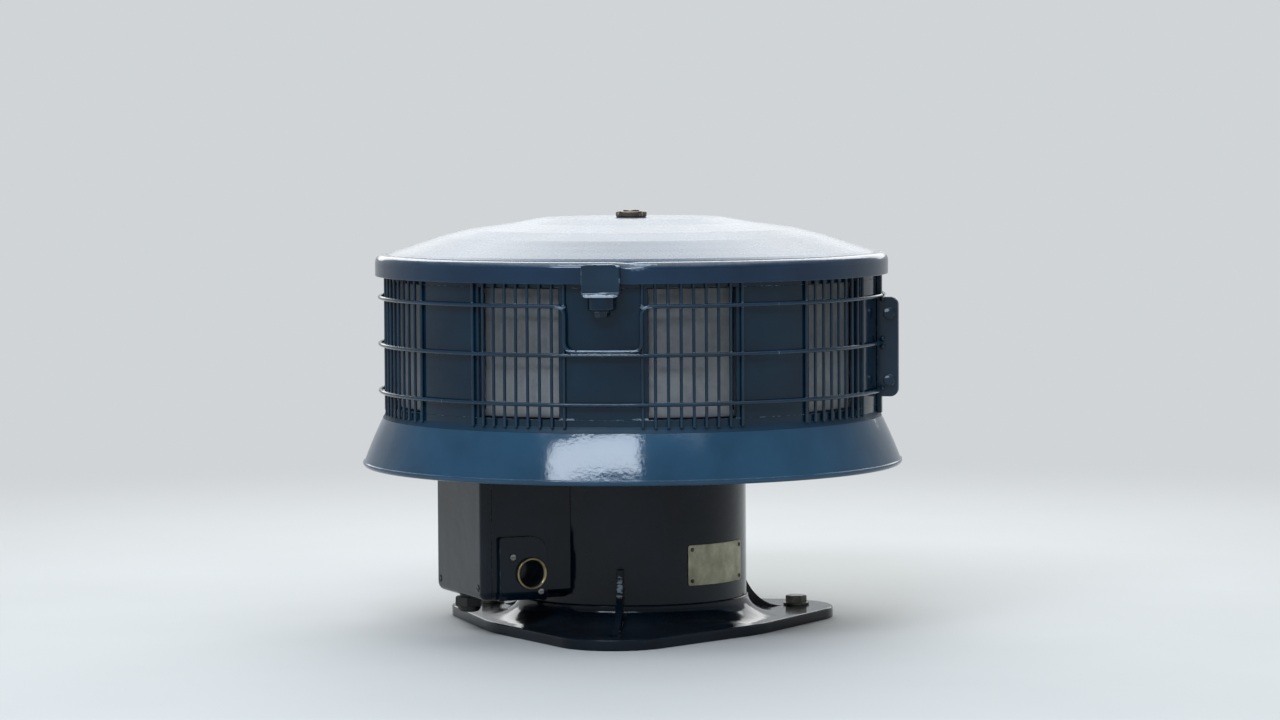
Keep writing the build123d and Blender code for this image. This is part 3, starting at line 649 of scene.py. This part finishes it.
# joints: heights where deck, walls and top ring run into each other; a cut lies just under the lugs' bosses
statorShape = {"deckEdge": 1.6, "ringEdge": 0.8, "wallEdge": 1.4, "joints": (290, 452),
               "cuts": (292, 423, 450)}


def offJoints(heights):  # test for edges that don't lie in a closed joint at one of these heights
    return lambda edge: not any(
        all(abs(v.co.z * 1000 - height) < 0.3 for v in edge.verts) for height in heights)


def makeStator():
    s, cast, slot = statorShape, enamels["castEnamel"], "stator_paint"
    keep = offJoints(s["joints"])
    roundedCopy("stator_deck", "deckCasting", s["deckEdge"], cast, keepEdge=keep)
    roundedCopy("stator_top_ring", "statorTopRing", s["ringEdge"], cast, keepEdge=keep)
    for number in range(9):
        wall = str(number + 1)
        roundedCopy("stator_segment_" + wall, "portWall" + wall, s["wallEdge"], cast, keepEdge=keep,
                    cuts=s["cuts"])


makeStator()
print("stator made")


# motor: housing, end shield, terminal box and foot

housingShape = {"radius": 147, "low": 41, "high": 236, "seamDown": 16, "seamDeep": 1.4, "seamWide": 1.6,
                "shieldEdge": 1.5}


def makeHousing():
    s = housingShape
    radius, low, high, deep, wide = s["radius"], s["low"], s["high"], s["seamDeep"], s["seamWide"]
    seam = high - s["seamDown"]  # spigot line where the upper end shield meets the shell
    outline = [(0, low, 0), (radius - 3, low, 0), (radius, low, 1.2),
               (radius, seam, 0.5), (radius - deep, seam + 0.4, 0.2),
               (radius - deep, seam + wide, 0.2), (radius, seam + wide + 0.4, 0.5),
               (radius, high, 1.2), (radius - 3, high, 0), (0, high, 0)]
    bm = bmesh.new()
    addLathe(bm, roundedOutline(outline, 4), 256, closed=False)
    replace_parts(finishPiece("housingShell", bm, enamels["shadedMotorEnamel"]), "motor_housing")
    roundedCopy("motor_end_shield", "endShield", s["shieldEdge"], enamels["shadedMotorEnamel"])


def boxPlace(across, out, height):  # point on the terminal box: across its width, out from the axis, up; mm
    return turnMatrix(-60) @ shifted(across, -out, height)


boxEdges = {"terminal_box": ("terminalBoxBody", 1.1), "terminal_box_cover": ("terminalBoxCover", 1.3),
            "cable_entry_boss": ("inletPlate", 0.5)}
coverScrews = {"across": 66, "heights": (66, 216), "face": 243.5, "radius": 4.6, "head": 0.9}
# profile of the brass bush is (radius, height), with a fine thread inside; screws are (out, height)
inletShape = {"face": 87.5, "out": 179.5, "height": 84, "screws": ((204.4, 105.5), (166.5, 60.5)),
              "screwRadius": 4.0, "screwHead": 2.6,
              "bush": [(17.4, 0), (19.3, 0), (20, 0.7), (20, 4.2), (19.2, 5), (18.2, 5), (17.2, 4.1),
                       (17.6, 3.4), (17.05, 2.7), (17.6, 2.0), (17.05, 1.3)]}


def makeTerminalBox():
    for nodeName, (pieceName, edgeMm) in boxEdges.items():
        roundedCopy(nodeName, pieceName, edgeMm, enamels["shadedMotorEnamel"])
    c = coverScrews
    bm = bmesh.new()
    for side in (-1, 1):
        for height in c["heights"]:
            place = boxPlace(side * c["across"], c["face"], height) @ tipped(90, "X")
            addSlotScrew(bm, place @ tipped(height * 0.6 + side * 20, "Z"), c["radius"], c["head"])
    finishPiece("boxCoverScrews", bm, enamels["shadedMotorEnamel"])
    s = inletShape
    bm = bmesh.new()
    for out, height in s["screws"]:
        addSlotScrew(bm, boxPlace(s["face"], out, height) @ tipped(90, "Y"), s["screwRadius"], s["screwHead"])
    finishPiece("inletPlateScrews", bm, metals["turnedSteel"])


def makeInletRing():
    s = inletShape
    bm = bmesh.new()
    addLathe(bm, s["bush"], 72, boxPlace(s["face"], s["out"], s["height"]) @ tipped(90, "Y"))
    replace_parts(finishPiece("inletRing", bm, metals["dulledBrass"]), "cable_entry_ring")


gland = {"across": -28, "out": 218.5, "top": 50, "neck": 12, "neckHigh": 5, "flats": 33, "hexHigh": 12,
         "length": 25}


def makeBlindGland():  # six-sided moulded plug with a domed end, hanging under the box
    g = gland
    joint, low, length = g["neckHigh"] + 0.5, g["neckHigh"] + g["hexHigh"] - 0.5, g["length"]
    neck = [(0, 0, 0), (g["neck"], 0, 0.3), (g["neck"], joint, 0.3), (0, joint, 0)]
    dome = [(0, low, 0), (14.5, low, 0), (15, low + 3, 1), (12.5, length - 1.5, 4), (7, length, 2),
            (6, length - 1.2, 0.5), (0, length - 1.2, 0)]
    bm = bmesh.new()
    place = boxPlace(g["across"], g["out"], g["top"]) @ tipped(180, "X")
    addLathe(bm, roundedOutline(neck, 3), 48, place, closed=False)
    addHexBolt(bm, place @ shifted(0, 0, g["neckHigh"]), g["flats"], g["hexHigh"])
    addLathe(bm, roundedOutline(dome, 4), 48, place, closed=False)
    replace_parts(finishPiece("blindGland", bm, polyamide), "blind_gland")


plate = {"radius": 147.3, "wide": 105, "low": 64, "high": 116, "thick": 1.0, "corner": 3, "bevel": 0.3,
         "azimuth": 55, "rivetInset": 6, "rivet": 2.6}


def makeRatingPlate():  # bare plate bent round the housing
    p = plate
    corner, thick, bevel = p["corner"], p["thick"], p["bevel"]
    places = [corner * (1 - cos(pi / 2 * k / 5)) for k in range(6)]  # close together round the corners
    places = (places + [corner + (p["wide"] - 2 * corner) * k / 24 for k in range(1, 24)]
              + [p["wide"] - along for along in places[5::-1]])
    bm = bmesh.new()
    columns = []
    for along in places:
        edge = min(along, p["wide"] - along)
        short = corner - sqrt(max(0, corner ** 2 - max(0, corner - edge) ** 2))
        azimuth = p["azimuth"] + degrees((along - p["wide"] / 2) / p["radius"])
        low, high = p["low"] + short, p["high"] - short
        column = [(0, low), (thick - bevel, low), (thick, low + bevel),
                  (thick, high - bevel), (thick - bevel, high), (0, high)]
        columns.append([bm.verts.new(aroundAxis(azimuth, p["radius"] + reach, height))
                        for reach, height in column])
    for near, far in zip(columns, columns[1:]):
        for k in range(6):
            n = (k + 1) % 6
            bm.faces.new([near[k], far[k], far[n], near[n]])
    bm.faces.new(columns[0])
    bm.faces.new(columns[-1][::-1])
    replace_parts(finishPiece("ratingPlate", bm, metals["rolledAluminium"]), "rating_plate")


def makePlateRivets():
    p = plate
    size, face = p["rivet"], p["radius"] + p["thick"] - 0.1
    head = [(0, 0), (size, 0), (size * 0.96, 0.5), (size * 0.75, 1.1), (size * 0.4, 1.5), (0, 1.6)]
    bm = bmesh.new()
    for side in (-1, 1):
        azimuth = p["azimuth"] + degrees(side * (p["wide"] / 2 - p["rivetInset"]) / p["radius"])
        for height in (p["low"] + p["rivetInset"], p["high"] - p["rivetInset"]):
            place = turnMatrix(azimuth) @ shifted(0, -face, height) @ tipped(90, "X")
            addLathe(bm, head, 28, place, closed=False)
    finishPiece("ratingPlateRivets", bm, metals["agedZincSteel"])


footShape = {"edge": 1.3, "plateTop": 16, "azimuths": (120, 240), "circle": 235, "seat": 14, "flats": 24,
             "height": 9.5, "washer": 17, "washerHeight": 3, "shank": 8, "shankDown": 13.5}


def makeFoot():
    f = footShape

    def onRibOrRim(edge):  # crests of the ribs and the lower edge; the upper edges are rounded in the casting
        return all(vertex.co.z > f["plateTop"] / 1000 or vertex.co.z < 0.001 for vertex in edge.verts)

    roundedCopy("base_foot", "footCasting", f["edge"], enamels["shadedMotorEnamel"],
                keepEdge=onRibOrRim)
    shank, down = f["shank"], f["shankDown"]
    bm = bmesh.new()
    for azimuth in f["azimuths"]:
        place = turnMatrix(azimuth) @ shifted(0, -f["circle"], f["seat"]) @ tipped(azimuth * 0.7 + 11, "Z")
        addHexBolt(bm, place, f["flats"], f["height"], f["washer"], f["washerHeight"], shank)
        addLathe(bm, [(0, 0.5), (shank, 0.5), (shank, 1 - down), (shank - 1, -down), (0, -down)], 32, place,
                 closed=False)
    finishPiece("footBolts", bm, metals["agedZincSteel"])


makeHousing()
makeTerminalBox()
makeInletRing()
makeBlindGland()
makeRatingPlate()
makePlateRivets()
makeFoot()
print("motor and foot made")


# guard: one welded wire cage, in nine panels as the nodes are

guard = {"ringRadius": 326.2, "barRadius": 322.3, "ringWire": 2.5, "barWire": 2.0, "low": 308.8,
         "middle": 369.4, "high": 429.6, "lowRun": 373.8, "barLow": 279, "barHigh": 459, "bars": 9,
         "barPitch": 2.84, "detourHalf": 48, "bend": 10, "lowBend": 12, "beadMm": (3.51, 2.34, 2.99),
         "beadOut": 1.6, "tacks": (9, 26), "tackHeight": 371.6, "tackMm": (3.5, 2.2, 1.8)}


def ringPoints(start, end, height):
    steps = max(2, int(abs(end - start) / 1.25))
    azimuths = [start + (end - start) * k / steps for k in range(steps + 1)]
    return [aroundAxis(azimuth, guard["ringRadius"], height) for azimuth in azimuths]


def detourPoints(lugAt, side, farEnd):  # from the far end of the panel, down the leg and under the lug
    g = guard
    radius, bend, lowBend = g["ringRadius"], g["bend"], g["lowBend"]
    perMm = degrees(1 / radius)
    leg = lugAt + side * g["detourHalf"] * perMm
    points = ringPoints(farEnd, leg + side * bend * perMm, g["high"])
    for k in range(1, 9):
        turn = pi / 2 * k / 8
        azimuth = leg + side * bend * (1 - sin(turn)) * perMm
        points.append(aroundAxis(azimuth, radius, g["high"] - bend * (1 - cos(turn))))
    for k in range(9):
        turn = pi / 2 * k / 8
        azimuth = leg - side * lowBend * (1 - cos(turn)) * perMm
        points.append(aroundAxis(azimuth, radius, g["lowRun"] + lowBend * (1 - sin(turn))))
    points += ringPoints(leg - side * lowBend * perMm, lugAt, g["lowRun"])[1:]
    return points


def makeGuardPanel(number):
    g = guard
    start, end, centre = number * 40.0, number * 40.0 + 40.0, number * 40.0 + 20.0
    clampGap = degrees(clamp["face"] / g["ringRadius"])
    if number == 1:
        end = clamp["azimuth"] - clampGap
    if number == 2:
        start = clamp["azimuth"] + clampGap
    side = {0: 1, 1: 0, 2: -1}[number % 3]  # a lug stands at the panel's start, nowhere, or at its end
    lug, farEnd = (start, end) if side > 0 else (end, start)
    runs = [ringPoints(start, end, g["low"]), ringPoints(start, end, g["middle"])]
    runs.append(detourPoints(lug, side, farEnd) if side else ringPoints(start, end, g["high"]))
    bm = bmesh.new()
    for run in runs:
        addTube(bm, run, g["ringWire"], 14, roundEnds=False)
    for bar in range(g["bars"]):
        azimuth = centre + (bar - (g["bars"] - 1) / 2) * g["barPitch"]
        lean = 0.105 * noise.noise(Vector((azimuth, 3.7, 1.1)))  # bars set by hand, a hair off upright
        drop = abs(1.2 * noise.noise(Vector((azimuth, 9.2, 4.4))))
        low = aroundAxis(azimuth + lean, g["barRadius"], g["barLow"] + 1.6 + drop)
        top = aroundAxis(azimuth - lean, g["barRadius"], g["barHigh"] - 1.6)
        addTube(bm, [low, low.lerp(top, 0.33), low.lerp(top, 0.67), top], g["barWire"])
        for height in (g["low"], g["middle"], g["high"]):
            seat = aroundAxis(azimuth, g["barRadius"] + g["beadOut"], height)
            addBlob(bm, seat, g["beadMm"], azimuth + height)
    for away in g["tacks"] if side else ():  # the low run is tacked on the middle ring
        seat = aroundAxis(lug + side * degrees(away / g["ringRadius"]), g["ringRadius"], g["tackHeight"])
        addBlob(bm, seat, g["tackMm"], away + number)
    name = str(number + 1)
    panel = finishPiece("guardPanel" + name, bm, enamels["wireEnamel"], sharpAngle=50)
    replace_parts(panel, "grille_panel_" + name)


# welds are (height, step up or down from it), where the rings end on the plates
clamp = {"azimuth": 86, "face": 5, "edge": 0.7, "boltOut": 336.7, "boltHeights": (321, 407), "flats": 13,
         "head": 5.3, "washer": 8, "washerHeight": 1.6, "nut": 6.5, "thread": 4, "threadOut": 4.2,
         "welds": ((308.8, 1.5), (369.4, 5), (369.4, -5), (426.6, -1)), "weldMm": (3.6, 3.4, 3.6)}


def makeClamp():
    c, paint, slot = clamp, enamels["wireEnamel"], "grille_paint"
    roundedCopy("grille_clamp_front", "clampPlateFront", c["edge"], paint)
    roundedCopy("grille_clamp_rear", "clampPlateRear", c["edge"], paint)
    bm = bmesh.new()
    for height in c["boltHeights"]:
        for side, thick, out in ((-1, c["head"], 0), (1, c["nut"], c["threadOut"])):
            place = turnMatrix(c["azimuth"]) @ shifted(side * c["face"], -c["boltOut"], height)
            place = place @ tipped(side * 90, "Y") @ tipped(height * 0.9, "Z")
            addHexBolt(bm, place, c["flats"], thick, c["washer"], c["washerHeight"], c["thread"], out)
    finishPiece("clampBolts", bm, paint)
    bm = bmesh.new()
    for side in (-1, 1):
        azimuth = c["azimuth"] + side * degrees((c["face"] + 1.2) / guard["ringRadius"])
        for height, lift in c["welds"]:
            seat = aroundAxis(azimuth, guard["ringRadius"] + 1.5, height + lift)
            addBlob(bm, seat, c["weldMm"], height + lift + side, 0.35)
    finishPiece("clampWelds", bm, paint, sharpAngle=60)


for number in range(9):
    makeGuardPanel(number)
makeClamp()
print("guard made")


# rotor

# nodes are (new name, arris); lips are thin rims that run close over the deck and under the top ring
rotorShape = {"nodes": {"rotor_segments": ("rotorWalls", 1.4), "rotor_blades": ("rotorBlades", 1.0),
                        "rotor_hub": ("rotorHub", 1.5), "rotor_top_disc": ("rotorTopDisc", 1.0),
                        "rotor_bottom_ring": ("rotorBottomRing", 1.0)},
              "joints": (299, 443), "lipFrom": 290, "lipBelow": 297, "lipAbove": 445, "lip": 4,
              "shaftEdge": 1.0}
rotorBolts = {"count": 6, "circle": 62, "seat": 433, "flats": 16, "height": 6.4, "washer": 9.5,
              "washerHeight": 1.8, "thread": 5}


def makeRotor():
    s = rotorShape
    for nodeName, (pieceName, edgeMm) in s["nodes"].items():
        piece = roundedCopy(nodeName, pieceName, edgeMm, metals["castAluminium"], "rotor",
                            offJoints(s["joints"]))
        for vertex in piece.data.vertices:
            if vertex.co.xy.length > s["lipFrom"] / 1000:
                if vertex.co.z < s["lipBelow"] / 1000:
                    vertex.co.z -= s["lip"] / 1000
                elif vertex.co.z > s["lipAbove"] / 1000:
                    vertex.co.z += s["lip"] / 1000
    bm = bmesh.new()
    for number in range(rotorBolts["count"]):
        hangBolt(bm, rotorBolts, (number + 0.5) * 360 / rotorBolts["count"])
    finishPiece("rotorHubBolts", bm, metals["agedZincSteel"], "rotor")
    roundedCopy("motor_shaft", "motorShaft", s["shaftEdge"], metals["turnedSteel"], "rotor")


makeRotor()
print("rotor made")


# stage, lights and camera

# fade: distances in m over which the floor runs out into the backdrop
# wash: backdrop by the sine of its height angle, pale to 10 degrees up, then bluer, pale again overhead
stageLook = {"floor": "#c9cac8", "floorDark": "#c6c7c5", "floorRadius": 40, "backdrop": "#d0d4d7",
             "skyFill": "#d3d8dd", "skyLevel": 0.5, "mirrored": 0.6, "fade": (0.9, 2.6),
             "wash": [(0.0, "#d0d4d7"), (0.18, "#d0d4d7"), (0.4, "#7f8f9c"), (0.72, "#7fa6c4"),
                      (0.88, "#f6faff")]}


def seenDirectly(add):  # 1 for rays that look at the backdrop, less where it is mirrored in the object
    rays = add("LightPath").outputs
    seen = add("Math", {0: rays["Is Glossy Ray"], 1: stageLook["mirrored"]}, operation="MULTIPLY")
    for ray in ("Is Camera Ray", "Is Transmission Ray"):
        seen = add("Math", {0: seen, 1: rays[ray]}, operation="MAXIMUM")
    return seen


def makeStage():  # smooth pale screed: matte, with faint clouds, fading into the backdrop without a line
    look = stageLook
    material, add, place = startMaterial("paleScreed")
    clouds = add("TexNoise", {"Vector": place, "Scale": 3.0, "Detail": 6})
    shade = add("ValToRGB", {"Fac": clouds})
    setStops(shade, [(0.3, look["floorDark"]), (0.7, look["floor"])])
    near = add("BsdfPrincipled", {"Base Color": shade, "Roughness": 0.85, "IOR": 1.45})
    reach = add("VectorMath", {0: place}, operation="LENGTH")
    fade = add("MapRange",
               {"Value": reach.outputs["Value"], "From Min": look["fade"][0], "From Max": look["fade"][1]},
               interpolation_type="SMOOTHSTEP")
    share = add("Math", {0: fade, 1: seenDirectly(add)}, operation="MULTIPLY")
    far = add("Emission", {"Color": linearColour(look["backdrop"]), "Strength": 1.0})
    both = add("MixShader", {0: share, 1: near, 2: far})
    add("OutputMaterial", {"Surface": both})
    bm = bmesh.new()
    bmesh.ops.create_circle(bm, cap_ends=True, segments=96, radius=look["floorRadius"])
    mesh = bpy.data.meshes.new("floor")
    bm.to_mesh(mesh)
    bm.free()
    floor = bpy.data.objects.new("floor", mesh)
    sceneNow.collection.objects.link(floor)
    mesh.materials.append(material)


def makeWorld():
    world = bpy.data.worlds.new("paleStudio")
    sceneNow.world = world
    world.use_nodes = True
    world.node_tree.nodes.clear()
    add = partial(addNode, world.node_tree)
    fill = add("Background",
               {"Color": linearColour(stageLook["skyFill"]), "Strength": stageLook["skyLevel"]})
    way = add("SeparateXYZ", {"Vector": add("TexCoord").outputs["Generated"]})
    wash = add("ValToRGB", {"Fac": way.outputs["Z"]})
    setStops(wash, stageLook["wash"])
    seen = add("Background", {"Color": wash, "Strength": 1.0})
    both = add("MixShader", {0: seenDirectly(add), 1: fill, 2: seen})
    add("OutputWorld", {"Surface": both})


lampAim = (0, 0, 0.3)  # m
lamps = {
    # azimuth, height angle, distance in m, width, height in m, tilt about the beam, watts, colour
    "keySoftbox": (-12, 39.5, 4.5, 2.7, 0.8, 10, 112, "#e2edfb"),
    "highBackSoftbox": (183, 38, 4.4, 5.0, 1.8, 0, 108, "#fbfbfa"),
    "lowBackSoftbox": (183, 17, 4.6, 5.4, 1.3, 0, 44, "#fbfbfa"),
    "topSoftbox": (0, 84, 3.6, 5.2, 5.2, 0, 105, "#e9f1f8"),
}


def makeLamps():
    for name, (azimuth, lift, distance, width, height, tilt, watts, colour) in lamps.items():
        data = bpy.data.lights.new(name, "AREA")
        data.shape = "RECTANGLE"
        data.size = width
        data.size_y = height
        data.energy = watts
        data.color = linearColour(colour)[:3]
        lamp = bpy.data.objects.new(name, data)
        sceneNow.collection.objects.link(lamp)
        out = aroundAxis(azimuth, cos(radians(lift)), sin(radians(lift))).normalized()
        facing = out.to_track_quat("Z", "Y").to_matrix().to_4x4()
        lamp.matrix_world = Matrix.Translation(Vector(lampAim) + out * distance) @ facing @ tipped(tilt, "Z")
        lamp.visible_camera = False


# fitted to the rims in the photograph: m, degrees, mm
photoView = {"place": (0.62494, -5.57146, 0.68128), "turn": (86.5648, 0.3275, 6.2755), "lens": 121.69,
             "sensor": 36}


def makeCamera():
    data = bpy.data.cameras.new("photoCamera")
    data.sensor_width = photoView["sensor"]
    data.lens = photoView["lens"]
    data.clip_end = 200
    camera = bpy.data.objects.new("photoCamera", data)
    sceneNow.collection.objects.link(camera)
    camera.location = photoView["place"]
    camera.rotation_euler = [radians(angle) for angle in photoView["turn"]]
    sceneNow.camera = camera


makeStage()
makeWorld()
makeLamps()
makeCamera()
sceneNow.view_settings.view_transform = "Standard"
print("stage, lamps and camera made")
